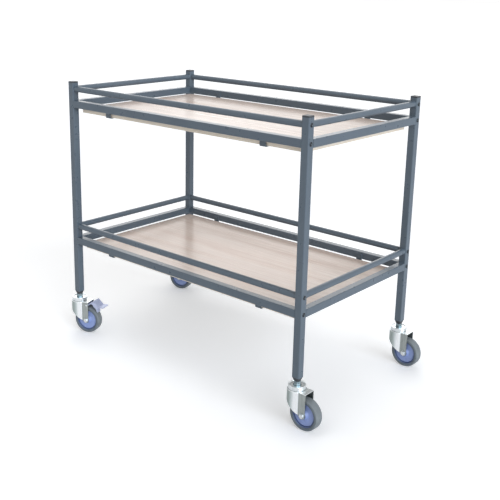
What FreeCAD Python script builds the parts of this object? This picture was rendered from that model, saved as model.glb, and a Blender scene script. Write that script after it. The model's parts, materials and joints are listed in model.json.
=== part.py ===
import FreeCAD, Part
import math
import os

from FreeCAD import Vector

# A two-level utility trolley: tube frame, two boards as decks, four swivel casters.
# Millimetres. X runs along the long side, Y to the rear, Z up from the floor.

# Frame over the posts
frame_length = 1040.0
frame_depth = 610.0
frame_height = 935.0

# Square tube of the posts and deck rails
tube_size = 25.0
tube_wall = 1.5
tube_corner = 2.5
tube_inside_corner = 1.0

# Undersides of the deck rails: the lower above the floor, the upper below the top of the frame
lower_rail_height = 344.0
upper_rail_drop = 91.0

# Round tube of the guard rails, and the clear gap above the deck rail
guard_diameter = 20.0
guard_wall = 1.5
guard_gap = 30.0

# Post caps
cap_plate = 5.0
cap_edge = 1.2
cap_plug_length = 14.0

# Bolts that hold the long rails, and the threaded plugs in the rail ends
bolt_diameter = 6.0
bolt_head_diameter = 13.0
bolt_head_height = 3.8
bolt_head_rim = 1.0
bolt_socket_size = 5.0
bolt_socket_depth = 2.0
bolt_grip = 16.0
plug_length = 22.0

# Deck boards: thickness, drop below the deck rail, gap to the rails all round
board_thickness = 18.0
board_drop = 0.5
board_gap = 8.0
board_corner = 4.0
board_edge = 0.8

# L brackets under the boards, and their screws
bracket_width = 22.0
bracket_plate = 3.0
bracket_bend = 4.0
bracket_leg_up = 18.0
bracket_flange = 30.0
bracket_spacing = 680.0
screw_diameter = 4.0
screw_head_diameter = 8.0
screw_head_height = 2.4
screw_head_round = 1.0
screw_slot_length = 4.8
screw_slot_width = 1.2
screw_slot_depth = 1.0
screw_bite = 6.0

# Wheels
wheel_diameter = 100.0
tyre_width = 32.0
tyre_tread_flat = 16.0
tyre_shoulder = 7.0
tyre_bead = 2.0
hub_diameter = 78.0
hub_rim_width = 27.0
hub_rim = 5.0
hub_groove = 2.0
hub_web_width = 20.0
hub_boss_diameter = 27.0
hub_edge = 1.0

# Axle: bolt, sleeve and nut
axle_diameter = 8.0
axle_hex = 13.0
axle_head_height = 5.0
axle_flange_diameter = 18.0
axle_flange_height = 1.5
axle_nut_height = 5.5
axle_thread_end = 1.5
sleeve_diameter = 12.0

# Fork
caster_trail = 36.0
fork_plate = 2.5
fork_side_gap = 2.5
fork_crown_gap = 19.5
fork_nose_radius = 30.0
fork_skirt = 28.0
fork_foot_radius = 10.0
fork_edge = 2.0

# Stem, bearing cup, king pin and retainer
cup_diameter = 54.0
cup_plate = 5.0
cup_edge = 1.2
cup_rim_height = 2.6
cup_rim_width = 2.6
cup_rim_slope = 1.5
ball_diameter = 5.0
ball_circle = 40.0
ball_count = 18
ball_groove = 7.0
king_pin_diameter = 14.0
retainer_diameter = 30.0
retainer_height = 4.0
king_pin_rivet = 1.0
collar_hex = 19.0
collar_height = 13.0
stem_diameter = 12.0
stem_insert = 30.0

# Caster socket in the lower end of a post
socket_foot_height = 12.0
socket_foot_top = 24.0
socket_foot_bottom = 17.0
socket_foot_corner = 5.0
socket_plug_length = 38.0

# Brake pedal on the left casters: reaches are from the swivel axis, rises from its neck
pedal_plate = 2.5
pedal_width = 40.0
pedal_corner = 4.0
pedal_neck = 4.0
pedal_reach = 111.0
pedal_ridge_reach = 69.0
pedal_ridge_rise = 14.6
pedal_dip_reach = 89.0
pedal_dip_drop = 5.5
pedal_lip_rise = 1.5
pedal_flange = 12.0
pedal_pin_diameter = 5.0
pedal_pin_back = 6.0
pedal_pin_drop = 9.5
pedal_pin_head = 1.5
pedal_pin_head_diameter = 8.0
pedal_barrel_wall = 2.5
shoe_width = 24.0
shoe_thickness = 5.0
shoe_gap = 6.0
shoe_angle = 40.0

# Clearances
fit_gap = 0.05
press_gap = 0.02
slip_gap = 0.1
side_gap = 0.3
bolt_hole_gap = 0.3

# Angles of the casters at rest, in degrees from +X
front_left_angle = 20.0
front_right_angle = 0.0
rear_left_angle = 195.0
rear_right_angle = 0.0
headings = {
    "front_left": front_left_angle,
    "front_right": front_right_angle,
    "rear_left": rear_left_angle,
    "rear_right": rear_right_angle,
}
braked = ("front_left", "rear_left")

# Heights and places that follow from the sizes above
tube_inside = tube_size - 2 * tube_wall
upper_rail_height = frame_height - upper_rail_drop
levels = {"lower": lower_rail_height, "upper": upper_rail_height}
deck_rail_axis = tube_size / 2
guard_rail_axis = tube_size + guard_gap + guard_diameter / 2
post_top = frame_height - cap_plate

wheel_radius = wheel_diameter / 2
hub_radius = hub_diameter / 2
fork_inside = tyre_width / 2 + fork_side_gap
fork_outside = fork_inside + fork_plate
fork_tail = caster_trail + fork_foot_radius
crown_under = wheel_diameter + fork_crown_gap
crown_top = crown_under + fork_plate
cup_under = crown_top + ball_diameter + 2 * slip_gap
cup_top = cup_under + cup_plate
collar_top = cup_top + collar_height
post_bottom = collar_top + socket_foot_height

pin_x = fork_tail - pedal_pin_back
pin_z = crown_under - pedal_pin_drop
pedal_start_z = pin_z + pedal_pin_diameter / 2

# The box of the whole trolley is centred on the origin: the corner of the rear left pedal
# reaches further to the left than the wheels reach to the right.
wheel_reach = caster_trail + wheel_radius
rear_left_turn = math.radians(rear_left_angle)
left_reach = (
    pedal_corner
    + (pedal_reach - pedal_corner) * abs(math.cos(rear_left_turn))
    + (pedal_width / 2 - pedal_corner) * abs(math.sin(rear_left_turn))
)
centre_x = (left_reach - wheel_reach) / 2
post_x = (frame_length - tube_size) / 2
post_y = (frame_depth - tube_size) / 2
corners = {
    "front_left": (centre_x - post_x, -post_y),
    "front_right": (centre_x + post_x, -post_y),
    "rear_left": (centre_x - post_x, post_y),
    "rear_right": (centre_x + post_x, post_y),
}

X = Vector(1, 0, 0)
Y = Vector(0, 1, 0)
Z = Vector(0, 0, 1)
O = Vector(0, 0, 0)

# Coordinates that differ by less than this are the same
same_place = 1e-4

nodes = {}


def box(size_x, size_y, size_z, centre):
    """A box about a centre point."""
    corner = centre - Vector(size_x / 2, size_y / 2, size_z / 2)
    return Part.makeBox(size_x, size_y, size_z, corner)


def rod(diameter, start, end):
    """A round rod from one point to another."""
    line = end - start
    return Part.makeCylinder(diameter / 2, line.Length, start, line)


def cross_rod(diameter, x, z, half_length):
    """A rod across the caster, along Y."""
    return rod(diameter, Vector(x, -half_length, z), Vector(x, half_length, z))


def rounded_square(size, radius, height=0.0):
    """The closed wire of a square with round corners, level at a height."""
    h = size / 2
    c = h - radius
    d = c + radius * math.sqrt(0.5)
    edges = []
    for turn in range(4):
        line = Part.LineSegment(Vector(h, -c, 0), Vector(h, c, 0)).toShape()
        arc = Part.Arc(Vector(h, c, 0), Vector(d, d, 0), Vector(c, h, 0)).toShape()
        for edge in (line, arc):
            edge.rotate(O, Z, 90 * turn)
            edges.append(edge)
    wire = Part.Wire(edges)
    wire.translate(Z * height)
    return wire


def square_bar(size, radius, length):
    """A solid square bar with round corners, standing on the origin."""
    return Part.Face(rounded_square(size, radius)).extrude(Z * length)


def square_tube(length):
    """A length of square tube, standing on the origin."""
    outside = square_bar(tube_size, tube_corner, length)
    return outside.cut(square_bar(tube_inside, tube_inside_corner, length))


def round_tube(length):
    """A length of guard rail tube, standing on the origin."""
    outside = rod(guard_diameter, O, Z * length)
    return outside.cut(rod(guard_diameter - 2 * guard_wall, O, Z * length))


def hex_bar(across_flats, start, height):
    """An upright hexagon bar that starts at a point."""
    radius = across_flats / math.sqrt(3)
    points = []
    for i in range(7):
        angle = math.radians(60 * i)
        points.append(start + Vector(radius * math.cos(angle), radius * math.sin(angle), 0))
    return Part.Face(Part.makePolygon(points)).extrude(Z * height)


def turned(points):
    """A solid turned about Z from its half outline, given as (radius, height) pairs."""
    outline = [Vector(r, 0, z) for r, z in points]
    outline.append(outline[0])
    return Part.Face(Part.makePolygon(outline)).revolve(O, Z, 360)


def laid(shape, direction, start):
    """Lay an upright shape along a direction, with its foot at a start point."""
    shape = shape.copy()
    shape.Placement = FreeCAD.Placement(start, FreeCAD.Rotation(Z, direction)).multiply(shape.Placement)
    return shape


def edges_at_height(shape, height):
    """The edges of a shape that lie level at a height."""
    found = []
    for edge in shape.Edges:
        bound = edge.BoundBox
        if abs(bound.ZMin - height) < same_place and abs(bound.ZMax - height) < same_place:
            found.append(edge)
    return found


def under_post(shape, corner, heading=0.0):
    """Turn a caster piece to a heading and put it under its post."""
    shape = shape.copy()
    shape.rotate(O, Z, heading)
    x, y = corners[corner]
    shape.translate(Vector(x, y, 0))
    return shape


# Posts, with the holes for the rail bolts

def rail_bolt_heights():
    """The heights of the bolts up a post."""
    heights = []
    for rail_height in levels.values():
        heights.append(rail_height + deck_rail_axis)
        heights.append(rail_height + guard_rail_axis)
    return heights


def post(x, y):
    shape = square_tube(post_top - post_bottom)
    shape.translate(Vector(x, y, post_bottom))
    for height in rail_bolt_heights():
        start = Vector(x - tube_size, y, height)
        shape = shape.cut(rod(bolt_diameter + 2 * bolt_hole_gap, start, start + X * 2 * tube_size))
    return shape


for corner, (x, y) in corners.items():
    nodes["post_" + corner] = post(x, y)


# Deck rails and guard rails between the posts

long_length = frame_length - 2 * tube_size
short_length = frame_depth - 2 * tube_size
for level, rail_height in levels.items():
    for kind, make_tube, axis in (
        ("deck_rail", square_tube, deck_rail_axis),
        ("guard_rail", round_tube, guard_rail_axis),
    ):
        z = rail_height + axis
        for side, y in (("front", -post_y), ("rear", post_y)):
            start = Vector(centre_x - long_length / 2, y, z)
            nodes[f"{kind}_{level}_{side}"] = laid(make_tube(long_length), X, start)
        for side, x in (("left", -post_x), ("right", post_x)):
            start = Vector(centre_x + x, -short_length / 2, z)
            nodes[f"{kind}_{level}_{side}"] = laid(make_tube(short_length), Y, start)


# Bolts through the posts into threaded plugs in the ends of the long rails

def rail_bolt():
    """A button-head socket bolt: the head's seat is at the origin, the shank runs along +Z."""
    r = bolt_head_diameter / 2
    rise = bolt_head_height - bolt_head_rim
    dome_r = (r ** 2 + rise ** 2) / (2 * rise)
    half_angle = math.asin(r / dome_r) / 2
    top = Vector(0, 0, -bolt_head_height)
    shoulder = Vector(r, 0, -bolt_head_rim)
    middle = top + Vector(math.sin(half_angle), 0, 1 - math.cos(half_angle)) * dome_r
    dome = Part.Arc(shoulder, middle, top).toShape()
    seat = Part.makePolygon([top, O, Vector(r, 0, 0), shoulder])
    head = Part.Face(Part.Wire(seat.Edges + [dome])).revolve(O, Z, 360)
    socket = hex_bar(bolt_socket_size, Vector(0, 0, -bolt_head_height), bolt_socket_depth)
    shank = rod(bolt_diameter, O, Z * (tube_size + bolt_grip))
    return head.cut(socket).fuse(shank).removeSplitter()


def rail_plug(body):
    """A plug in a rail end, bored for the bolt."""
    return body.cut(rod(bolt_diameter + 2 * fit_gap, O, Z * plug_length))


square_plug = rail_plug(square_bar(tube_inside - 2 * slip_gap, tube_inside_corner + slip_gap, plug_length))
round_plug = rail_plug(rod(guard_diameter - 2 * guard_wall - 2 * slip_gap, O, Z * plug_length))
bolts = []
square_plugs = []
round_plugs = []
for corner, (x, y) in corners.items():
    inward = X if x < centre_x else -X
    for rail_height in levels.values():
        for axis, plug, group in (
            (deck_rail_axis, square_plug, square_plugs),
            (guard_rail_axis, round_plug, round_plugs),
        ):
            outer_face = Vector(x, y, rail_height + axis) - inward * (tube_size / 2)
            bolts.append(laid(rail_bolt(), inward, outer_face))
            group.append(laid(plug, inward, outer_face + inward * tube_size))
nodes["rail_bolts"] = Part.makeCompound(bolts)
nodes["deck_rail_plugs"] = Part.makeCompound(square_plugs)
nodes["guard_rail_plugs"] = Part.makeCompound(round_plugs)


# Caps on the posts

def post_cap():
    plate = square_bar(tube_size, tube_corner, cap_plate)
    plate = plate.makeFillet(cap_edge, edges_at_height(plate, cap_plate))
    plug_size = tube_inside - 2 * slip_gap
    plug = square_bar(plug_size, tube_inside_corner + slip_gap, cap_plug_length)
    plug.translate(Z * -cap_plug_length)
    return plate.fuse(plug).removeSplitter()


caps = []
for x, y in corners.values():
    cap = post_cap()
    cap.translate(Vector(x, y, post_top))
    caps.append(cap)
nodes["post_caps"] = Part.makeCompound(caps)


# Boards, the brackets that carry them and the screws between

rail_inner_y = frame_depth / 2 - tube_size
bracket_xs = (centre_x - bracket_spacing / 2, centre_x + bracket_spacing / 2)
screw_y = rail_inner_y - (bracket_flange + board_gap) / 2


def board(under):
    length = long_length - 2 * board_gap
    depth = short_length - 2 * board_gap
    shape = Part.makeBox(length, depth, board_thickness, Vector(centre_x - length / 2, -depth / 2, under))
    upright = [edge for edge in shape.Edges if edge.BoundBox.ZLength > board_thickness / 2]
    shape = shape.makeFillet(board_corner, upright)
    shape = shape.makeFillet(board_edge, edges_at_height(shape, under + board_thickness))
    for x in bracket_xs:
        for y in (-screw_y, screw_y):
            start = Vector(x, y, under)
            shape = shape.cut(rod(screw_diameter + 2 * fit_gap, start, start + Z * (screw_bite + fit_gap)))
    return shape


def bracket(rail_height):
    """A front bracket about X = 0, with its leg on the rail's inner face."""
    top = rail_height + bracket_leg_up
    under = rail_height - board_drop - board_thickness - bracket_plate
    y = -rail_inner_y
    outline = Part.makePolygon([
        Vector(0, y, top),
        Vector(0, y, under),
        Vector(0, y + bracket_flange, under),
        Vector(0, y + bracket_flange, under + bracket_plate),
        Vector(0, y + bracket_plate, under + bracket_plate),
        Vector(0, y + bracket_plate, top),
        Vector(0, y, top),
    ])
    shape = Part.Face(outline).extrude(X * bracket_width)
    shape.translate(X * (-bracket_width / 2))
    bend = []
    for edge in shape.Edges:
        bound = edge.BoundBox
        at_corner = bound.YMax < y + same_place and bound.ZMax < under + same_place
        if at_corner and bound.XLength > bracket_width / 2:
            bend.append(edge)
    shape = shape.makeFillet(bracket_bend, bend)
    hole = Vector(0, -screw_y, under - bracket_plate)
    return shape.cut(rod(screw_diameter + 2 * slip_gap, hole, hole + Z * 3 * bracket_plate))


def board_screw():
    """A pan-head screw with a cross slot: the head's seat is at the origin, the shank points up."""
    head = rod(screw_head_diameter, Z * -screw_head_height, O)
    head = head.makeFillet(screw_head_round, edges_at_height(head, -screw_head_height))
    middle = Z * (screw_slot_depth / 2 - screw_head_height)
    head = head.cut(box(screw_slot_length, screw_slot_width, screw_slot_depth, middle))
    head = head.cut(box(screw_slot_width, screw_slot_length, screw_slot_depth, middle))
    shank = rod(screw_diameter, O, Z * (bracket_plate + screw_bite))
    return head.fuse(shank).removeSplitter()


screws = []
for level, rail_height in levels.items():
    board_under = rail_height - board_drop - board_thickness
    nodes["deck_" + level] = board(board_under)
    group = []
    for x in bracket_xs:
        for turn, y in ((0, -screw_y), (180, screw_y)):
            shape = bracket(rail_height)
            shape.rotate(O, Z, turn)
            shape.translate(X * x)
            group.append(shape)
            screw = board_screw()
            screw.translate(Vector(x, y, board_under - bracket_plate))
            screws.append(screw)
    nodes["deck_brackets_" + level] = Part.makeCompound(group)
nodes["deck_screws"] = Part.makeCompound(screws)


# Caster sockets in the posts

def caster_socket():
    """A plug in the post with a tapered foot below it, bored for the stem."""
    top = rounded_square(socket_foot_top, tube_corner, post_bottom)
    bottom = rounded_square(socket_foot_bottom, socket_foot_corner, collar_top)
    foot = Part.makeLoft([bottom, top], True, True)
    plug = square_bar(tube_inside - 2 * slip_gap, tube_inside_corner + slip_gap, socket_plug_length)
    plug.translate(Z * post_bottom)
    bore = rod(stem_diameter + 2 * fit_gap, O, Z * (post_bottom + 2 * socket_plug_length))
    return foot.fuse(plug).removeSplitter().cut(bore)


# Stem: shank, hex collar, bearing cup and king pin in one

def caster_stem():
    cup_r = cup_diameter / 2
    groove_in = (ball_circle - ball_groove) / 2
    groove_out = (ball_circle + ball_groove) / 2
    pin_r = king_pin_diameter / 2
    rim_z = cup_top + cup_rim_height
    dish_r = cup_r - cup_rim_width
    lip_z = crown_top + side_gap
    pin_end = crown_under - side_gap - retainer_height - king_pin_rivet
    cup = turned([
        (0, pin_end),
        (pin_r, pin_end),
        (pin_r, lip_z),
        (groove_in, lip_z),
        (groove_in, cup_under),
        (groove_out, cup_under),
        (groove_out, lip_z),
        (cup_r, lip_z),
        (cup_r, rim_z),
        (dish_r, rim_z),
        (dish_r - cup_rim_slope, cup_top),
        (0, cup_top),
    ])
    cup = cup.makeFillet(cup_edge, edges_at_height(cup, rim_z))
    collar = hex_bar(collar_hex, Z * cup_top, collar_height)
    shank = rod(stem_diameter, Z * cup_top, Z * (post_bottom + stem_insert))
    return cup.fuse([collar, shank]).removeSplitter()


def bearing_balls():
    """The ring of balls between the cup and the fork."""
    balls = []
    ball_r = ball_diameter / 2
    centre_z = crown_top + slip_gap + ball_r
    for i in range(ball_count):
        angle = 2 * math.pi * i / ball_count
        out = Vector(math.cos(angle), math.sin(angle), 0) * (ball_circle / 2)
        balls.append(Part.makeSphere(ball_r, out + Z * centre_z))
    return balls


def king_pin_retainer():
    """The washer under the fork that holds it on the king pin."""
    top = Z * (crown_under - side_gap)
    washer = rod(retainer_diameter, top - Z * retainer_height, top)
    bore = rod(king_pin_diameter + 2 * press_gap, top - Z * 2 * retainer_height, top + Z)
    return washer.cut(bore)


# Fork: one pressing with a round nose, a flat crown and two legs

def fork_plan(nose_radius, half_width, tail):
    """The fork's outline from above: a round nose and straight sides up to the tail."""
    join = math.sqrt(nose_radius ** 2 - half_width ** 2)
    nose = Part.Arc(
        Vector(join, half_width, 0),
        Vector(-nose_radius, 0, 0),
        Vector(join, -half_width, 0),
    ).toShape()
    sides = Part.makePolygon([
        Vector(join, -half_width, 0),
        Vector(tail, -half_width, 0),
        Vector(tail, half_width, 0),
        Vector(join, half_width, 0),
    ])
    return Part.Face(Part.Wire([nose] + sides.Edges))


def fork_side():
    """The fork's outline from the side: legs that run down from the nose and tail to the axle."""
    axle = Vector(caster_trail, 0, wheel_radius)
    front = Vector(-fork_nose_radius - fork_plate, 0, crown_top - fork_skirt)
    away = front - axle
    bearing = math.atan2(away.z, away.x) + math.acos(fork_foot_radius / away.Length)
    touch = axle + Vector(math.cos(bearing), 0, math.sin(bearing)) * fork_foot_radius
    tail_low = Vector(fork_tail, 0, wheel_radius)
    foot = Part.Arc(tail_low, axle - Z * fork_foot_radius, touch).toShape()
    rest = Part.makePolygon([
        touch,
        front,
        Vector(front.x, 0, crown_top),
        Vector(fork_tail, 0, crown_top),
        tail_low,
    ])
    face = Part.Face(Part.Wire([foot] + rest.Edges))
    face.translate(Y * -2 * fork_nose_radius)
    return face.extrude(Y * 4 * fork_nose_radius)


def fork(with_brake):
    low = wheel_radius - 2 * fork_foot_radius
    outside = fork_plan(fork_nose_radius, fork_outside, fork_tail).extrude(Z * (crown_top - low))
    outside.translate(Z * low)
    rim = [edge for edge in edges_at_height(outside, crown_top) if edge.BoundBox.XLength > fork_plate]
    outside = outside.makeFillet(fork_edge, rim)
    inside = fork_plan(fork_nose_radius - fork_plate, fork_inside, 2 * fork_tail)
    inside = inside.extrude(Z * (crown_under - low))
    inside.translate(Z * low)
    shape = outside.common(fork_side()).cut(inside)
    holes = [
        rod(king_pin_diameter + 2 * fit_gap, Z * (crown_under - fork_plate), Z * (crown_top + fork_plate)),
        cross_rod(axle_diameter + 2 * slip_gap, caster_trail, wheel_radius, 2 * fork_outside),
    ]
    if with_brake:
        holes.append(cross_rod(pedal_pin_diameter + 2 * press_gap, pin_x, pin_z, 2 * fork_outside))
    return shape.cut(holes)


# Axle: flanged bolt, sleeve between the legs and nut, made upright and laid along Y

def axle():
    head = rod(axle_flange_diameter, Z * -axle_flange_height, O)
    head = head.fuse(hex_bar(axle_hex, Z * -axle_head_height, axle_head_height))
    shank_end = 2 * fork_outside + axle_nut_height + axle_thread_end
    bolt = head.fuse(rod(axle_diameter, O, Z * shank_end)).removeSplitter()
    sleeve = rod(sleeve_diameter, Z * fork_plate, Z * (fork_plate + 2 * fork_inside))
    sleeve = sleeve.cut(rod(axle_diameter + 2 * fit_gap, O, Z * shank_end))
    nut_seat = 2 * fork_outside
    nut = hex_bar(axle_hex, Z * nut_seat, axle_nut_height)
    nut = nut.cut(rod(axle_diameter + 2 * press_gap, O, Z * 2 * shank_end))
    start = Vector(caster_trail, -fork_outside, wheel_radius)
    return [laid(piece, Y, start) for piece in (bolt, sleeve, nut)]


# Wheel centre and tyre, turned upright and laid along Y

def laid_on_axle(shape):
    return laid(shape, Y, Vector(caster_trail, 0, wheel_radius))


def hub():
    boss_end = fork_inside - side_gap
    boss_r = hub_boss_diameter / 2
    bore_r = sleeve_diameter / 2 + fit_gap
    rim_in = hub_radius - hub_rim
    half = [
        (bore_r, boss_end),
        (boss_r, boss_end),
        (boss_r + (boss_end - hub_web_width / 2) / 2, hub_web_width / 2),
        (rim_in - hub_groove, hub_web_width / 2),
        (rim_in - hub_groove / 2, hub_web_width / 2 - hub_groove),
        (rim_in, hub_rim_width / 2 - hub_edge),
        (rim_in + hub_edge, hub_rim_width / 2),
        (hub_radius, hub_rim_width / 2),
    ]
    other = [(r, -z) for r, z in reversed(half)]
    return laid_on_axle(turned(half + other))


def tyre():
    bore_r = hub_radius + press_gap
    wall = tyre_width / 2
    bead = wall - tyre_bead
    flat = tyre_tread_flat / 2
    shoulder_r = wheel_radius - tyre_shoulder
    middle_r = shoulder_r + tyre_shoulder * math.sqrt(0.5)
    middle_z = flat + (wall - flat) * math.sqrt(0.5)
    lines = Part.makePolygon([
        Vector(wheel_radius, 0, flat),
        Vector(wheel_radius, 0, -flat),
    ]).Edges
    for side in (1, -1):
        lines += [Part.Arc(
            Vector(shoulder_r, 0, side * wall),
            Vector(middle_r, 0, side * middle_z),
            Vector(wheel_radius, 0, side * flat),
        ).toShape()]
        lines += Part.makePolygon([
            Vector(bore_r, 0, side * bead),
            Vector(bore_r + tyre_bead, 0, side * wall),
            Vector(shoulder_r, 0, side * wall),
        ]).Edges
    lines += Part.makePolygon([Vector(bore_r, 0, bead), Vector(bore_r, 0, -bead)]).Edges
    wire = Part.Wire(Part.sortEdges(lines)[0])
    return laid_on_axle(Part.Face(wire).revolve(O, Z, 360))


# Brake pedal: barrel on its pin, ridged pad with side flanges and a lip, and a shoe over the tyre

def side_plate(points, width, middle_y=0.0):
    """A plate cut to an outline seen from the side."""
    face = Part.Face(Part.makePolygon(points + [points[0]]))
    face.translate(Y * (middle_y - width / 2))
    return face.extrude(Y * width)


def bent_plate(lower, width):
    """A plate bent along its lower side, seen from the side."""
    upper = [point + Z * pedal_plate for point in reversed(lower)]
    return side_plate(lower + upper, width)


def brake_pedal():
    half = fork_inside - side_gap
    start = Vector(pin_x, 0, pedal_start_z)
    bend = Vector(fork_tail, 0, pedal_start_z)
    ridge = Vector(pedal_ridge_reach, 0, pedal_start_z + pedal_ridge_rise)
    dip = Vector(pedal_dip_reach, 0, pedal_start_z - pedal_dip_drop)
    tip = Vector(pedal_reach, 0, dip.z + pedal_lip_rise)
    climb = (ridge - bend).normalize()
    fall = (dip - ridge).normalize()
    neck = bend + climb * pedal_neck

    arm = bent_plate([start, bend, neck], 2 * half)
    pad = bent_plate([neck, ridge, dip, tip], pedal_width)
    tip_edges = []
    for edge in pad.Edges:
        bound = edge.BoundBox
        if bound.XMin > pedal_reach - pedal_corner and bound.ZLength > pedal_plate / 2:
            tip_edges.append(edge)
    pad = pad.makeFillet(pedal_corner, tip_edges)

    inward = Vector(fall.z, 0, -fall.x) * pedal_flange
    outline = [neck, ridge, dip, dip + inward, ridge + inward]
    flange_y = (pedal_width - pedal_plate) / 2
    flanges = [side_plate(outline, pedal_plate, y) for y in (-flange_y, flange_y)]

    up_tread = math.radians(shoe_angle)
    out = Vector(math.cos(up_tread), 0, math.sin(up_tread))
    along = Vector(-out.z, 0, out.x) * (shoe_thickness / 2)
    face = Vector(caster_trail, 0, wheel_radius) + out * (wheel_radius + shoe_gap)
    root = shoe_thickness / 2
    shoe = side_plate(
        [ridge - climb * root, ridge, ridge + fall * root, face - along, face + along],
        shoe_width,
    )

    barrel = cross_rod(pedal_pin_diameter + 2 * pedal_barrel_wall, pin_x, pin_z, half)
    shape = pad.fuse([arm, barrel, shoe] + flanges).removeSplitter()
    return shape.cut(cross_rod(pedal_pin_diameter + 2 * fit_gap, pin_x, pin_z, 2 * half))


def pedal_pin():
    pin = cross_rod(pedal_pin_diameter, pin_x, pin_z, fork_outside + pedal_pin_head)
    for side in (-1, 1):
        seat = Vector(pin_x, side * fork_outside, pin_z)
        pin = pin.fuse(rod(pedal_pin_head_diameter, seat, seat + Y * side * pedal_pin_head))
    return pin.removeSplitter()


# Four casters under the posts

sockets = []
balls = []
retainers = []
for corner, heading in headings.items():
    sockets.append(under_post(caster_socket(), corner))
    balls += [under_post(ball, corner) for ball in bearing_balls()]
    retainers.append(under_post(king_pin_retainer(), corner))
    nodes["caster_stem_" + corner] = under_post(caster_stem(), corner)
    has_brake = corner in braked
    nodes["caster_fork_" + corner] = under_post(fork(has_brake), corner, heading)
    axle_pieces = [under_post(piece, corner, heading) for piece in axle()]
    nodes["caster_axle_" + corner] = Part.makeCompound(axle_pieces)
    nodes["wheel_hub_" + corner] = under_post(hub(), corner, heading)
    nodes["wheel_tyre_" + corner] = under_post(tyre(), corner, heading)
    if has_brake:
        nodes["brake_pedal_" + corner] = under_post(brake_pedal(), corner, heading)
        nodes["brake_pin_" + corner] = under_post(pedal_pin(), corner, heading)
nodes["caster_sockets"] = Part.makeCompound(sockets)
nodes["bearing_balls"] = Part.makeCompound(balls)
nodes["king_pin_retainers"] = Part.makeCompound(retainers)


os.makedirs("parts", exist_ok=True)
for name, shape in nodes.items():
    shape.exportStep(f"parts/{name}.step")
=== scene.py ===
import json
import math

import bmesh
import bpy
from mathutils import Matrix, Vector


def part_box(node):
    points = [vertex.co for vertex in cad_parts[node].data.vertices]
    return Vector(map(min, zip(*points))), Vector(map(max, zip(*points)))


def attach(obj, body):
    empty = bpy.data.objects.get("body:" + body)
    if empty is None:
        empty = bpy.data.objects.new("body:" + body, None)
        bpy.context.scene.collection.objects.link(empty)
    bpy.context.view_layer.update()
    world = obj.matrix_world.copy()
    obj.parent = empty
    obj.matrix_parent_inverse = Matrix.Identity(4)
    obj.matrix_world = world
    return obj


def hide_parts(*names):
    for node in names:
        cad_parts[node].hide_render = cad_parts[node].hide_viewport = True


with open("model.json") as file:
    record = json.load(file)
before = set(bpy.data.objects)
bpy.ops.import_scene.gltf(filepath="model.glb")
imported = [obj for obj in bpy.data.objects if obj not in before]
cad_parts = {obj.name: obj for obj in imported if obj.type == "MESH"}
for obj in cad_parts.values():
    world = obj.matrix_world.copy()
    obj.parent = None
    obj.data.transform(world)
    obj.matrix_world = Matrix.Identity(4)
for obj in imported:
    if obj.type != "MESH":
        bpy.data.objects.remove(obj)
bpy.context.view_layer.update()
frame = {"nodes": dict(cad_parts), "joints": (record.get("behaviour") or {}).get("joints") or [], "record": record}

# A two-level utility trolley. Metres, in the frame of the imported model: X along the long side,
# Y to the rear, Z up from the floor.

scene = bpy.context.scene

corners = ("front_left", "front_right", "rear_left", "rear_right")
levels = ("lower", "upper")
joints = {joint["name"]: joint for joint in frame["joints"]}


def middle(node):
    """The middle of a node's box."""
    low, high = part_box(node)
    return (low + high) / 2


def size(node):
    """The lengths of a node's box."""
    low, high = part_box(node)
    return high - low


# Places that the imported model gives
trolley_middle = middle("deck_lower")
post_offset = middle("post_rear_right") - trolley_middle
crown_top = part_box("caster_fork_front_right")[1].z

# Wheel centre: a boss with a seal groove, a dished web and a grooved rim.
# Radii are from the axle, halves are along it from the middle of the wheel.
hub_bore = 0.0061
boss_radius = 0.0135
boss_taper = 0.0008
boss_foot_half = 0.0165
boss_flare = 0.0030
seal_inner = 0.0088
seal_outer = 0.0108
seal_depth = 0.0010
web_half = 0.0098
web_dish = 0.0008
groove_inner = 0.0348
groove_outer = 0.0368
groove_slope = 0.0006
groove_half = 0.0066
rim_inner = 0.0374
rim_half = 0.0135
rim_slope = 0.0006
rim_drop = 0.0004

# Its corner radii
sharp = 0.0
bore_corner = 0.0003
seal_corner = 0.0001
boss_corner = 0.0008
boss_bend = 0.0015
web_bend = 0.0025
dish_bend = 0.0120
groove_lip = 0.0010
groove_corner = 0.0006
rim_bend = 0.0008
rim_corner = 0.0003

# Tyre: rounded shoulders, a ring on each side wall and a mould line round the tread
tyre_bead = 0.0020
tyre_bead_slope = 0.0012
side_ring_height = 0.0005
side_ring_inner = 0.0426
side_ring_outer = 0.0440
side_ring_slope = 0.0003
tread_half = 0.0085
tread_crown = 0.0004
mould_line_half = 0.0004
mould_line_depth = 0.0003

# Its corner radii
wall_corner = 0.0002
tyre_bead_bend = 0.0008
shoulder_bend = 0.0052
tread_bend = 0.0020

# How finely the wheels are turned, and the angle from which an edge is shaded sharp
turned_steps = 128
corner_steps = 6
sharp_angle = math.radians(50)

# Weld beads where the end rails meet the posts
bead_radius = 0.0016
bead_ripple = 0.18
bead_pitch = 0.0022
bead_sides = 12
bead_end_share = 0.35

# Where one finish or painted light passes into another: on the stems, from the collar's painted shade to the cup;
# on the forks, between the painted light of nose, legs and crown; in the rim groove's painted shade; on the tread
# and round the edges of the boards
collar_reach = 0.0125
collar_blend = 0.001
leg_start = 0.0205
leg_full = 0.0217
crown_edge_low = 0.003
crown_edge_high = 0.001
groove_shade_start = 0.0004
tread_worn_start = 0.0462
tread_worn_full = 0.0490
facing_start = 0.6
facing_full = 0.7

# Between these values a noise texture runs from its dark end to its pale end
noise_dark = 0.3
noise_pale = 0.7

# How far a normal has to lean at an edge, and how much of the sky a corner hides
edge_full = 0.86
edge_none = 0.995
edge_samples = 6
crevice_none = 0.95
crevice_full = 0.35
crevice_samples = 8

# Sockets of a Mix node that mixes colours
mix_share = 0
mix_first = 6
mix_second = 7
mix_result = 2
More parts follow.
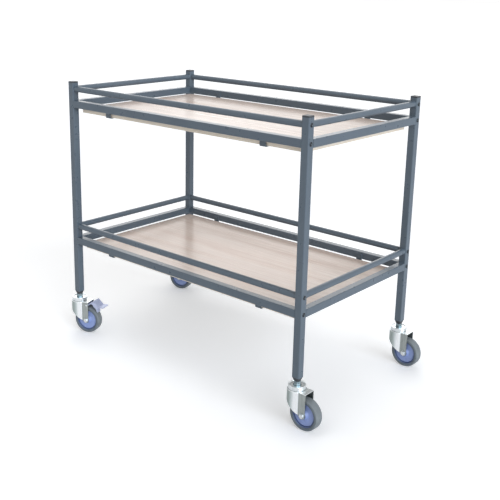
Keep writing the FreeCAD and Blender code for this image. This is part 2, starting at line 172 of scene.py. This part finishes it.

# Floor: its own grey, the light that lifts it to white, and the painted shadow that lowers that lift below the
# trolley
floor_radius = 60.0
floor_segments = 64
floor_grey = 0.86
floor_roughness = 0.9
floor_lift = 0.46
painted_shadow_depth = 0.38
mirrored_share = 0.50
shade_reach = 0.42
shade_full = 0.70
shade_none = 0.92
shade_samples = 16

# Sky, and lamps that are soft suns
neutral = (1.0, 1.0, 1.0)
sky_strength = 0.27
seen_sky_strength = 1.0
lamps = {
    "overhead": {"strength": 0.30, "degrees": 34, "toward": (0.30, 0.0, -1.0), "colour": neutral},
    "side": {"strength": 2.5, "degrees": 50, "toward": (-1.0, 0.30, -0.38), "colour": (0.93, 1.0, 1.10)},
    "rear": {"strength": 0.67, "degrees": 50, "toward": (0.66, -0.75, -0.55), "colour": neutral},
    "front": {"strength": 0.35, "degrees": 60, "toward": (-0.35, 1.0, -0.30), "colour": neutral},
}

# Camera: place from the middle of the trolley on the floor, direction and lens
camera_offset = Vector((1.81526, -2.1016, 1.2842))
camera_yaw = 0.71800
camera_pitch = 0.25700
camera_roll = 0.01790
camera_lens = 59.433
camera_sensor = 36.0
camera_shift = (0.03768, -0.10473)
camera_reach = 4 * floor_radius


# Node helpers

class Nodes:
    """A node tree, built up node by node."""

    def __init__(self, tree):
        self.tree = tree

    def add(self, kind, inputs=None, **settings):
        """A new node of a kind, with its inputs and settings."""
        node = self.tree.nodes.new("ShaderNode" + kind)
        for name, value in settings.items():
            setattr(node, name, value)
        for name, value in (inputs or {}).items():
            self.put(node.inputs[name], value)
        return node

    def put(self, socket, value):
        """Link an output to a socket, or set the socket's own value."""
        if isinstance(value, bpy.types.NodeSocket):
            self.tree.links.new(value, socket)
        else:
            socket.default_value = value

    def calc(self, operation, first, second=0.0):
        """A sum on one or two values."""
        node = self.add("Math", operation=operation)
        self.put(node.inputs[0], first)
        self.put(node.inputs[1], second)
        return node.outputs[0]

    def scaled(self, value, share):
        """A share of a value."""
        return self.calc("MULTIPLY", value, share)


class Finish(Nodes):
    """A material, and the nodes that its looks come from."""

    def __init__(self, name):
        self.material = bpy.data.materials.new(name)
        self.material.use_nodes = True
        super().__init__(self.material.node_tree)
        self.shader = self.tree.nodes["Principled BSDF"]

    def set(self, **inputs):
        """Set the shader's sockets, named in lower case with underscores."""
        for socket in self.shader.inputs:
            key = socket.name.lower().replace(" ", "_")
            if key in inputs:
                self.put(socket, inputs[key])

    def place(self, stretch=(1, 1, 1)):
        """Points on the piece, in metres, stretched along the axes."""
        coords = self.add("TexCoord").outputs["Object"]
        return self.add("Mapping", {"Vector": coords, "Scale": stretch}).outputs["Vector"]

    def parts(self, vector):
        """The X, Y and Z of a vector."""
        return self.add("SeparateXYZ", {"Vector": vector}).outputs

    def noise(self, scale, detail=2.0, stretch=(1, 1, 1), distortion=0.0):
        """Cloudy values, with a number of clouds to the metre."""
        inputs = {
            "Vector": self.place(stretch),
            "Scale": scale,
            "Detail": detail,
            "Distortion": distortion,
        }
        return self.add("TexNoise", inputs).outputs["Fac"]

    def ramp(self, value, *stops):
        """Colours, or levels of grey, between stops along a value."""
        node = self.add("ValToRGB", {"Fac": value})
        elements = node.color_ramp.elements
        while len(elements) < len(stops):
            elements.new(0.5)
        for element, (position, level) in zip(elements, stops):
            colour = level if isinstance(level, tuple) else (level, level, level)
            element.position = position
            element.color = (*colour, 1.0)
        return node.outputs["Color"]

    def spread(self, noise, dark, pale):
        """Colours or levels between the two ends of a noise."""
        return self.ramp(noise, (noise_dark, dark), (noise_pale, pale))

    def step(self, value, low, high):
        """0 below a low value, 1 above a high one."""
        node = self.add("MapRange", {"Value": value, "From Min": low, "From Max": high})
        return node.outputs["Result"]

    def mix(self, share, first, second):
        """A first colour where the share is 0, a second where it is 1."""
        node = self.add("Mix", data_type="RGBA", blend_type="MIX")
        self.put(node.inputs[mix_share], share)
        for socket, colour in ((mix_first, first), (mix_second, second)):
            value = (*colour, 1.0) if isinstance(colour, tuple) else colour
            self.put(node.inputs[socket], value)
        return node.outputs[mix_result]

    def length(self, x, y):
        """The length of a flat vector."""
        flat = self.add("CombineXYZ", {"X": x, "Y": y}).outputs[0]
        return self.add("VectorMath", {0: flat}, operation="LENGTH").outputs["Value"]

    def bump(self, height, depth, strength, normal=None):
        """A normal that a height of some depth tilts."""
        inputs = {"Height": height, "Distance": depth, "Strength": strength}
        if normal is not None:
            inputs["Normal"] = normal
        return self.add("Bump", inputs).outputs["Normal"]

    def rounded(self, radius):
        """A normal that rounds sharp edges off."""
        return self.add("Bevel", {"Radius": radius}, samples=edge_samples).outputs["Normal"]

    def edges(self, radius):
        """1 along edges and 0 on open faces."""
        rounded = self.rounded(radius)
        flat = self.add("NewGeometry").outputs["Normal"]
        dot = self.add("VectorMath", {0: rounded, 1: flat}, operation="DOT_PRODUCT")
        return self.ramp(dot.outputs["Value"], (edge_full, 1.0), (edge_none, 0.0))

    def crevices(self, reach):
        """1 down in corners and 0 on open faces."""
        occlusion = self.add("AmbientOcclusion", {"Distance": reach}, samples=crevice_samples)
        return self.step(occlusion.outputs["AO"], crevice_none, crevice_full)

    def from_axle(self):
        """The distance from the axle on a wheel piece, whose Y runs along the axle."""
        x, _, z = self.parts(self.place())
        return self.length(x, z)


# Finishes

def frame_paint():
    """Blue-grey powder coat: fine orange peel, soft mottling, and paler edges: a worn coat with a painted
    highlight along them.
    """
    finish = Finish("frame_paint")
    cloud = finish.noise(scale=7.0, detail=4.0)
    colour = finish.spread(cloud, dark=(0.088, 0.118, 0.149), pale=(0.103, 0.135, 0.166))
    # Paler edges, part worn coat and part painted highlight.
    pale_edges = finish.scaled(finish.edges(radius=0.0012), share=0.35)
    pale_edge_colour = (0.20, 0.25, 0.30)
    sheen = finish.noise(scale=55.0, detail=3.0)
    peel = finish.noise(scale=900.0, detail=1.0)
    finish.set(
        base_color=finish.mix(pale_edges, colour, pale_edge_colour),
        specular_ior_level=0.52,
        roughness=finish.spread(sheen, dark=0.27, pale=0.33),
        normal=finish.bump(peel, depth=0.00003, strength=0.5),
    )
    return finish.material


def deck_board():
    """Wood-grain laminate above, a plain backing sheet below, a cream band round the edge."""
    finish = Finish("deck_board")
    broad = finish.noise(scale=3.0, detail=5.0, stretch=(0.35, 5.0, 5.0), distortion=0.6)
    fine = finish.noise(scale=14.0, detail=4.0, stretch=(0.25, 12.0, 12.0), distortion=0.2)
    pores = finish.noise(scale=60.0, detail=2.0, stretch=(0.12, 9.0, 9.0))
    grain_colour = (0.65, 0.460, 0.360)
    pore_colour = (0.57, 0.390, 0.295)
    wood = finish.ramp(
        broad,
        (0.30, (0.80, 0.620, 0.515)),
        (0.48, (0.90, 0.745, 0.640)),
        (0.62, (0.94, 0.795, 0.695)),
        (0.75, (0.83, 0.655, 0.555)),
    )
    wood = finish.mix(finish.ramp(fine, (0.42, 0.0), (0.72, 0.42)), wood, grain_colour)
    wood = finish.mix(finish.ramp(pores, (0.58, 0.0), (0.75, 0.30)), wood, pore_colour)
    band = finish.ramp(
        finish.noise(scale=30.0, detail=3.0, stretch=(0.2, 0.2, 6.0)),
        (0.35, (0.90, 0.785, 0.640)),
        (0.65, (0.95, 0.840, 0.705)),
    )
    backing = finish.ramp(
        finish.noise(scale=20.0, detail=4.0, stretch=(0.4, 4.0, 4.0)),
        (0.35, (0.60, 0.575, 0.545)),
        (0.65, (0.66, 0.635, 0.605)),
    )
    upright = finish.parts(finish.add("NewGeometry").outputs["Normal"])["Z"]
    board = finish.mix(finish.step(upright, facing_start, facing_full), band, wood)
    board = finish.mix(finish.step(upright, -facing_start, -facing_full), board, backing)
    finish.set(
        base_color=board,
        roughness=finish.ramp(fine, (0.35, 0.23), (0.75, 0.30)),
        specular_ior_level=0.28,
        normal=finish.bump(pores, depth=0.00005, strength=0.35),
    )
    return finish.material


def black_plastic():
    """Moulded dark plastic with a fine grain."""
    finish = Finish("black_plastic")
    grain = finish.noise(scale=1600.0, detail=2.0)
    cloud = finish.noise(scale=120.0, detail=3.0)
    finish.set(
        base_color=finish.spread(cloud, dark=(0.030, 0.035, 0.042), pale=(0.046, 0.052, 0.060)),
        roughness=finish.spread(grain, dark=0.42, pale=0.58),
        normal=finish.bump(grain, depth=0.00008, strength=0.5, normal=finish.rounded(0.0006)),
    )
    return finish.material


def black_bolt():
    """Blackened steel, a little bare along its edges, and paler down in the sockets."""
    finish = Finish("black_bolt")
    blotch = finish.noise(scale=400.0, detail=3.0)
    colour = finish.spread(blotch, dark=(0.012, 0.014, 0.018), pale=(0.028, 0.031, 0.037))
    pale_edges = finish.scaled(finish.edges(radius=0.0005), share=0.3)
    bare_colour = (0.16, 0.17, 0.18)
    socket_pale_colour = (0.30, 0.36, 0.38)
    colour = finish.mix(pale_edges, colour, bare_colour)
    finish.set(
        # Paler colour down in the sockets.
        base_color=finish.mix(finish.crevices(reach=0.003), colour, socket_pale_colour),
        metallic=0.5,
        roughness=finish.spread(blotch, dark=0.34, pale=0.50),
        normal=finish.rounded(radius=0.0004),
    )
    return finish.material


def plated(finish, colour, painted_shade_colour, painted_shade_reach, painted_shade_share, smooth, dull):
    """Plate in a colour: fine drawing lines, rounded edges and painted shade in its corners."""
    # Painted shade: corners and crevices are darkened toward a dark colour, by a share.
    painted_shade = finish.scaled(finish.crevices(painted_shade_reach), painted_shade_share)
    lines = finish.noise(scale=300.0, detail=3.0, stretch=(1.0, 1.0, 0.06))
    finish.set(
        base_color=finish.mix(painted_shade, colour, painted_shade_colour),
        metallic=1.0,
        roughness=finish.spread(lines, dark=smooth, pale=dull),
        normal=finish.bump(lines, depth=0.00002, strength=0.3, normal=finish.rounded(0.0007)),
    )


# Painted shade in the corners of plain plate and of the caster plate: its colour, reach and share.
plain_painted_shade = {"painted_shade_colour": (0.16, 0.20, 0.22), "painted_shade_reach": 0.006, "painted_shade_share": 0.75}
caster_plate = {
    "painted_shade_colour": (0.13, 0.18, 0.20),
    "painted_shade_reach": 0.005,
    "painted_shade_share": 0.7,
    "smooth": 0.24,
    "dull": 0.36,
}


def cloudy_plate(name, dark, pale, smooth, dull):
    """Plain plate on steel, cloudy between a dark and a pale colour."""
    finish = Finish(name)
    cloud = finish.noise(scale=45.0, detail=4.0, distortion=0.5)
    plated(finish, finish.spread(cloud, dark, pale), smooth=smooth, dull=dull, **plain_painted_shade)
    return finish.material


def fork_plate(corner):
    """Zinc on a pressed fork, with a painted reflection: the drawn nose is painted dark at its tip and painted
    bright where it bends back into the legs, the flat legs are dull with painted shade, and the top of the crown
    carries a painted highlight."""
    finish = Finish("fork_plate_" + corner)
    swivel = Vector(joints["swivel_" + corner]["pos_m"])
    axle = Vector(joints["spin_" + corner]["pos_m"])
    trail = (axle - swivel).to_2d().normalized()
    x, y, z = finish.parts(finish.place())
    out_x = finish.calc("SUBTRACT", x, swivel.x)
    out_y = finish.calc("SUBTRACT", y, swivel.y)
    behind = finish.calc("ADD", finish.scaled(out_x, trail.x), finish.scaled(out_y, trail.y))
    aside = finish.calc("SUBTRACT", finish.scaled(out_y, trail.x), finish.scaled(out_x, trail.y))
    turn = finish.calc("ARCTAN2", finish.calc("ABSOLUTE", aside), finish.scaled(behind, -1.0))
    share = finish.calc("DIVIDE", turn, math.pi)
    streaks = finish.noise(scale=160.0, detail=3.0, stretch=(1.0, 1.0, 0.10))
    wander = finish.scaled(finish.calc("SUBTRACT", streaks, 0.5), share=0.05)
    # Painted reflection round the nose: painted shade near its tip, painted highlight where it bends back into the
    # legs.
    nose = finish.ramp(
        finish.calc("ADD", share, wander),
        (0.20, (0.36, 0.41, 0.40)),
        (0.40, (0.33, 0.38, 0.37)),
        (0.50, (0.54, 0.60, 0.60)),
        (0.59, (0.90, 0.93, 0.94)),
        (0.67, (0.95, 0.97, 0.98)),
    )
    # Painted shade on the flat legs.
    leg_painted_shade = finish.spread(streaks, dark=(0.33, 0.36, 0.35), pale=(0.42, 0.45, 0.44))
    # Painted highlight on the top of the crown.
    crown_painted_highlight = (0.74, 0.78, 0.79)
    is_leg = finish.step(behind, leg_start, leg_full)
    is_crown = finish.step(z, crown_top - crown_edge_low, crown_top - crown_edge_high)
    # The sides carry the painted light of the nose, then the painted shade of the legs.
    side = finish.mix(is_leg, nose, leg_painted_shade)
    plated(finish, finish.mix(is_crown, side, crown_painted_highlight), **caster_plate)
    return finish.material


def stem_plate():
    """Zinc on the turned stems: a bright cup, and painted shade on the collar above it."""
    finish = Finish("stem_plate")
    x, y, _ = finish.parts(finish.place())
    along = finish.calc("ABSOLUTE", finish.calc("SUBTRACT", x, trolley_middle.x))
    across = finish.calc("ABSOLUTE", finish.calc("SUBTRACT", y, trolley_middle.y))
    out_x = finish.calc("SUBTRACT", along, post_offset.x)
    out_y = finish.calc("SUBTRACT", across, post_offset.y)
    cloud = finish.noise(scale=60.0, detail=3.0)
    # Painted shade on the collar; the cup keeps the plain zinc tone.
    collar = finish.ramp(cloud, (0.35, (0.22, 0.29, 0.32)), (0.65, (0.40, 0.48, 0.51)))
    cup = finish.ramp(cloud, (0.35, (0.70, 0.745, 0.76)), (0.65, (0.84, 0.87, 0.88)))
    is_cup = finish.step(finish.length(out_x, out_y), collar_reach, collar_reach + collar_blend)
    plated(finish, finish.mix(is_cup, collar, cup), **caster_plate)
    return finish.material


def pedal_plate():
    """Blue-grey coat on the pressed pedals: satin, with fine speckle and worn edges."""
    finish = Finish("pedal_plate")
    cloud = finish.noise(scale=90.0, detail=3.0)
    speckle = finish.noise(scale=900.0, detail=2.0)
    colour = finish.spread(cloud, dark=(0.42, 0.46, 0.64), pale=(0.50, 0.54, 0.70))
    pale_edges = finish.scaled(finish.edges(radius=0.0009), share=0.5)
    pale_edge_colour = (0.70, 0.74, 0.82)
    finish.set(
        base_color=finish.mix(pale_edges, colour, pale_edge_colour),
        metallic=0.3,
        roughness=finish.spread(speckle, dark=0.34, pale=0.46),
        normal=finish.bump(speckle, depth=0.00004, strength=0.4, normal=finish.rounded(0.0008)),
    )
    return finish.material


def ball_steel():
    """Polished steel with a faint haze."""
    finish = Finish("ball_steel")
    haze = finish.noise(scale=800.0, detail=2.0)
    finish.set(
        base_color=finish.spread(haze, dark=(0.66, 0.67, 0.69), pale=(0.78, 0.79, 0.81)),
        metallic=1.0,
        roughness=finish.spread(haze, dark=0.08, pale=0.16),
    )
    return finish.material


def wheel_centre():
    """Blue moulded plastic with faint flow marks, and painted shade down in the rim groove."""
    finish = Finish("wheel_centre")
    flow = finish.noise(scale=70.0, detail=4.0, distortion=1.2)
    grain = finish.noise(scale=1300.0, detail=1.0)
    colour = finish.spread(flow, dark=(0.250, 0.325, 0.590), pale=(0.300, 0.380, 0.650))
    # Painted shade in the rim groove.
    groove_painted_shade = (0.110, 0.150, 0.270)
    groove_shade_mask = finish.step(
        finish.from_axle(), groove_inner - groove_shade_start, groove_inner + groove_slope
    )
    finish.set(
        base_color=finish.mix(groove_shade_mask, colour, groove_painted_shade),
        roughness=finish.spread(flow, dark=0.34, pale=0.46),
        normal=finish.bump(grain, depth=0.00006, strength=0.4),
    )
    return finish.material


def tyre_rubber():
    """Grey non-marking rubber: dusty, and paler where the tread has worn."""
    finish = Finish("tyre_rubber")
    dust = finish.noise(scale=60.0, detail=5.0)
    grain = finish.noise(scale=1500.0, detail=2.0)
    wall = finish.spread(dust, dark=(0.112, 0.136, 0.156), pale=(0.150, 0.176, 0.196))
    tread = finish.spread(dust, dark=(0.172, 0.192, 0.202), pale=(0.226, 0.248, 0.256))
    worn = finish.step(finish.from_axle(), tread_worn_start, tread_worn_full)
    finish.set(
        base_color=finish.mix(worn, wall, tread),
        roughness=finish.spread(dust, dark=0.58, pale=0.76),
        normal=finish.bump(grain, depth=0.0001, strength=0.5),
    )
    return finish.material


materials = {
    "frame_paint": frame_paint(),
    "deck_board": deck_board(),
    "black_plastic": black_plastic(),
    "black_bolt": black_bolt(),
    "plain_steel": cloudy_plate(
        "plain_steel", dark=(0.42, 0.43, 0.45), pale=(0.52, 0.53, 0.55), smooth=0.30, dull=0.44
    ),
    "zinc_plate": cloudy_plate(
        "zinc_plate", dark=(0.64, 0.68, 0.70), pale=(0.78, 0.81, 0.83), smooth=0.18, dull=0.32
    ),
    "ball_steel": ball_steel(),
    "wheel_centre": wheel_centre(),
    "tyre": tyre_rubber(),
}
special = {"caster_stem": stem_plate(), "brake_pedal": pedal_plate()}
for corner in corners:
    special["caster_fork_" + corner] = fork_plate(corner)


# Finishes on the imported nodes, by the record's slots, or by a node's name where it has its own

for part in frame["record"]["subparts"]:
    name = part["node"]
    material = materials[part["material_slot"]]
    for start in special:
        if name.startswith(start):
            material = special[start]
    mesh = frame["nodes"][name].data
    mesh.materials.clear()
    mesh.materials.append(material)


# Pieces in mesh code

def add_piece(name, mesh_maker, slot, body, place=Matrix.Identity(4)):
    """A smooth-shaded piece from a filled mesh, in a slot's finish, riding on a body."""
    mesh = bpy.data.meshes.new(name)
    mesh_maker.to_mesh(mesh)
    mesh_maker.free()
    mesh.shade_smooth()
    mesh.set_sharp_from_angle(angle=sharp_angle)
    mesh.materials.append(materials[slot])
    piece = bpy.data.objects.new(name, mesh)
    piece.matrix_world = place
    scene.collection.objects.link(piece)
    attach(piece, body)
    return piece


# Wheels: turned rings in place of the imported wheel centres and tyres

def round_off(outline):
    """A closed outline with each corner rounded: (radius, along, corner) to flat vectors."""
    points = [Vector((radius, along)) for radius, along, _ in outline]
    rounded = []
    for i, (_, _, corner) in enumerate(outline):
        here = points[i]
        if corner == sharp:
            rounded.append(here)
            continue
        before = (points[i - 1] - here).normalized()
        after = (points[(i + 1) % len(points)] - here).normalized()
        reach = corner / math.tan(before.angle(after) / 2)
        start = here + before * reach
        end = here + after * reach
        for k in range(corner_steps + 1):
            t = k / corner_steps
            rounded.append(start * (1 - t) ** 2 + here * 2 * t * (1 - t) + end * t ** 2)
    return rounded


def turned(outline):
    """A ring turned about Y from a closed outline of (radius, along) vectors."""
    maker = bmesh.new()
    rings = []
    for i in range(turned_steps):
        angle = 2 * math.pi * i / turned_steps
        ring = [maker.verts.new((r * math.cos(angle), y, r * math.sin(angle))) for r, y in outline]
        rings.append(ring)
    for i, ring in enumerate(rings):
        after = rings[(i + 1) % turned_steps]
        for k in range(len(ring)):
            j = (k + 1) % len(ring)
            maker.faces.new((ring[k], ring[j], after[j], after[k]))
    bmesh.ops.recalc_face_normals(maker, faces=maker.faces)
    return maker


def reach_from_axle(node, joint):
    """How far a wheel node reaches out from its axle, and along it."""
    centre = Vector(joint["pos_m"])
    axis = Vector(joint["axis"])
    offsets = [vertex.co - centre for vertex in frame["nodes"][node].data.vertices]
    along = max(abs(offset.dot(axis)) for offset in offsets)
    out = max((offset - axis * offset.dot(axis)).length for offset in offsets)
    return out, along


def both_sides(half):
    """A closed outline from its half on the positive side."""
    return half + [(radius, -along, corner) for radius, along, corner in reversed(half)]


def hub_outline(hub_radius, boss_half):
    """The wheel centre from its bore out to its rim: radius, place along the axle, corner radius."""
    return both_sides([
        (hub_bore, boss_half, bore_corner),
        (seal_inner, boss_half, seal_corner),
        (seal_inner, boss_half - seal_depth, sharp),
        (seal_outer, boss_half - seal_depth, sharp),
        (seal_outer, boss_half, seal_corner),
        (boss_radius - boss_taper, boss_half, boss_corner),
        (boss_radius, boss_foot_half, boss_bend),
        (boss_radius + boss_flare, web_half, web_bend),
        ((boss_radius + groove_inner) / 2, web_half - web_dish, dish_bend),
        (groove_inner, web_half, groove_lip),
        (groove_inner + groove_slope, groove_half, groove_corner),
        (groove_outer, groove_half, groove_corner),
        (rim_inner, rim_half - rim_drop, rim_bend),
        (rim_inner + rim_slope, rim_half, rim_corner),
        (hub_radius, rim_half, rim_corner),
    ])


def tyre_outline(tyre_radius, tyre_half, bore):
    """The tyre from its bore out to its tread: radius, place along the axle, corner radius."""
    wall = tyre_half - side_ring_height
    return both_sides([
        (bore, wall - tyre_bead, wall_corner),
        (bore + tyre_bead_slope, wall, tyre_bead_bend),
        (side_ring_inner, wall, wall_corner),
        (side_ring_inner + side_ring_slope, tyre_half, wall_corner),
        (side_ring_outer - side_ring_slope, tyre_half, wall_corner),
        (side_ring_outer, wall, wall_corner),
        (tyre_radius - tread_crown, wall, shoulder_bend),
        (tyre_radius, tread_half / 2, tread_bend),
        (tyre_radius, mould_line_half, sharp),
        (tyre_radius - mould_line_depth, mould_line_half / 2, sharp),
    ])


for corner in corners:
    joint = joints["spin_" + corner]
    upright = Vector(joint["axis"]).to_track_quat("Y", "Z").to_matrix().to_4x4()
    place = Matrix.Translation(Vector(joint["pos_m"])) @ upright
    body = "wheel_" + corner
    hub_radius, boss_half = reach_from_axle("wheel_hub_" + corner, joint)
    tyre_radius, tyre_half = reach_from_axle("wheel_tyre_" + corner, joint)
    outline = round_off(hub_outline(hub_radius, boss_half))
    hub = add_piece("hub_" + corner, turned(outline), "wheel_centre", body, place)
    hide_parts("wheel_hub_" + corner)
    outline = round_off(tyre_outline(tyre_radius, tyre_half, hub_radius))
    tyre = add_piece("tyre_" + corner, turned(outline), "tyre", body, place)
    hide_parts("wheel_tyre_" + corner)


# Weld beads: a rippled ring round each end guard rail, a rippled line over and under each end
# deck rail

along_y = Vector((0, 1, 0))
along_z = Vector((0, 0, 1))


def add_bead(maker, centres, sides, closed):
    """A rippled bead along points, round in the plane of the side direction at each and Y."""
    count = len(centres)
    rings = []
    for i, (centre, side) in enumerate(zip(centres, sides)):
        radius = bead_radius * (1 - bead_ripple * (i % 2))
        if not closed and i in (0, count - 1):
            radius *= bead_end_share
        ring = []
        for k in range(bead_sides):
            angle = 2 * math.pi * k / bead_sides
            out = side * math.cos(angle) + along_y * math.sin(angle)
            ring.append(maker.verts.new(centre + out * radius))
        rings.append(ring)
    for i in range(count if closed else count - 1):
        after = rings[(i + 1) % count]
        for k in range(bead_sides):
            j = (k + 1) % bead_sides
            maker.faces.new((rings[i][k], rings[i][j], after[j], after[k]))
    if not closed:
        maker.faces.new(rings[0])
        maker.faces.new(rings[-1])


def add_ring_bead(maker, rail, y):
    """A bead round a round rail at one of its ends."""
    centre = middle(rail)
    centre.y = y
    radius = size(rail).z / 2
    count = 2 * round(math.pi * radius / bead_pitch)
    sides = []
    for i in range(count):
        angle = 2 * math.pi * i / count
        sides.append(Vector((math.cos(angle), 0, math.sin(angle))))
    add_bead(maker, [centre + out * radius for out in sides], sides, True)


def add_line_bead(maker, rail, y, z):
    """A bead across a square rail at one of its ends, at a height."""
    half = size(rail).x / 2 - 2 * bead_radius
    count = 2 * round(half / bead_pitch) + 1
    centres = []
    for i in range(count):
        x = middle(rail).x + half * (2 * i / (count - 1) - 1)
        centres.append(Vector((x, y, z)))
    add_bead(maker, centres, [along_z] * count, False)


def weld_beads():
    """All the beads, in one mesh."""
    maker = bmesh.new()
    for level in levels:
        for side in ("left", "right"):
            guard = f"guard_rail_{level}_{side}"
            deck = f"deck_rail_{level}_{side}"
            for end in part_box(guard):
                add_ring_bead(maker, guard, end.y)
                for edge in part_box(deck):
                    add_line_bead(maker, deck, end.y, edge.z)
    bmesh.ops.recalc_face_normals(maker, faces=maker.faces)
    return maker


add_piece("weld_beads", weld_beads(), "frame_paint", "frame")


# Floor: pale, with the shadow kept, white where the camera or a reflection sees it, and a painted shadow below the
# trolley

def floor_material():
    """Plain grey, lifted by its own light where it is seen, and less so below the trolley, where the smaller lift
    is a painted shadow.
    """
    finish = Finish("floor")
    grey = (floor_grey, floor_grey, floor_grey, 1.0)
    finish.set(base_color=grey, roughness=floor_roughness, specular_ior_level=0.0)
    path = finish.add("LightPath").outputs
    mirrored = finish.calc("MAXIMUM", path["Is Glossy Ray"], path["Is Transmission Ray"])
    seen = finish.calc("ADD", path["Is Camera Ray"], finish.scaled(mirrored, mirrored_share))
    # Painted shadow below the trolley: where things above hide the sky close by, the lift is lowered.
    occlusion = finish.add("AmbientOcclusion", {"Distance": shade_reach}, samples=shade_samples)
    painted_shadow = finish.step(occlusion.outputs["AO"], shade_none, shade_full)
    lift_share = finish.calc("SUBTRACT", 1.0, finish.scaled(painted_shadow, painted_shadow_depth))
    strength = finish.calc("MULTIPLY", seen, finish.scaled(lift_share, floor_lift))
    glow = finish.add("Emission", {"Color": (*neutral, 1.0), "Strength": strength})
    both = finish.add("AddShader", {0: finish.shader.outputs[0], 1: glow.outputs[0]})
    finish.put(finish.tree.nodes["Material Output"].inputs["Surface"], both.outputs[0])
    return finish.material


floor_mesh = bpy.data.meshes.new("floor")
rim = bmesh.new()
bmesh.ops.create_circle(rim, cap_ends=True, radius=floor_radius, segments=floor_segments)
rim.to_mesh(floor_mesh)
rim.free()
floor = bpy.data.objects.new("floor", floor_mesh)
scene.collection.objects.link(floor)
floor.data.materials.append(floor_material())


# Sky: white where the camera or a reflection sees it, plain soft light elsewhere

world = bpy.data.worlds.new("studio")
world.use_nodes = True
scene.world = world
sky = Nodes(world.node_tree)
soft = sky.tree.nodes["Background"]
sky.put(soft.inputs["Color"], (*neutral, 1.0))
sky.put(soft.inputs["Strength"], sky_strength)
white = sky.add("Background", {"Color": (*neutral, 1.0), "Strength": seen_sky_strength})
path = sky.add("LightPath").outputs
mirrored = sky.calc("MAXIMUM", path["Is Glossy Ray"], path["Is Transmission Ray"])
seen = sky.calc("MAXIMUM", path["Is Camera Ray"], mirrored)
either = sky.add("MixShader", {0: seen, 1: soft.outputs[0], 2: white.outputs[0]})
sky.put(sky.tree.nodes["World Output"].inputs["Surface"], either.outputs[0])


# Lamps: a soft one overhead, a strong one from the right, one from behind and a weak one in front

def sun(name, strength, degrees, toward, colour):
    """A lamp of even light, as wide as an angle, that shines toward a direction."""
    data = bpy.data.lights.new(name, "SUN")
    data.color = colour
    data.energy = strength
    data.angle = math.radians(degrees)
    lamp = bpy.data.objects.new(name, data)
    lamp.rotation_mode = "QUATERNION"
    lamp.rotation_quaternion = Vector(toward).to_track_quat("-Z", "Y")
    scene.collection.objects.link(lamp)


for name, lamp in lamps.items():
    sun(name, **lamp)


# Camera at the photograph's angle

def aim(yaw, pitch, roll):
    """The camera's turn: yaw from +Y to the left, pitch down, then roll."""
    level_forward = Vector((-math.sin(yaw), math.cos(yaw), 0.0))
    right = Vector((math.cos(yaw), math.sin(yaw), 0.0))
    forward = level_forward * math.cos(pitch) - along_z * math.sin(pitch)
    up = right.cross(forward)
    tilted_right = right * math.cos(roll) + up * math.sin(roll)
    tilted_up = up * math.cos(roll) - right * math.sin(roll)
    return Matrix((tilted_right, tilted_up, -forward)).transposed().to_4x4()


camera_data = bpy.data.cameras.new("camera")
camera_data.lens = camera_lens
camera_data.sensor_width = camera_sensor
camera_data.shift_x, camera_data.shift_y = camera_shift
camera_data.clip_end = camera_reach
camera = bpy.data.objects.new("camera", camera_data)
camera_place = Vector((trolley_middle.x, trolley_middle.y, 0.0)) + camera_offset
camera.matrix_world = Matrix.Translation(camera_place) @ aim(camera_yaw, camera_pitch, camera_roll)
scene.collection.objects.link(camera)
scene.camera = camera

scene.view_settings.view_transform = "Standard"
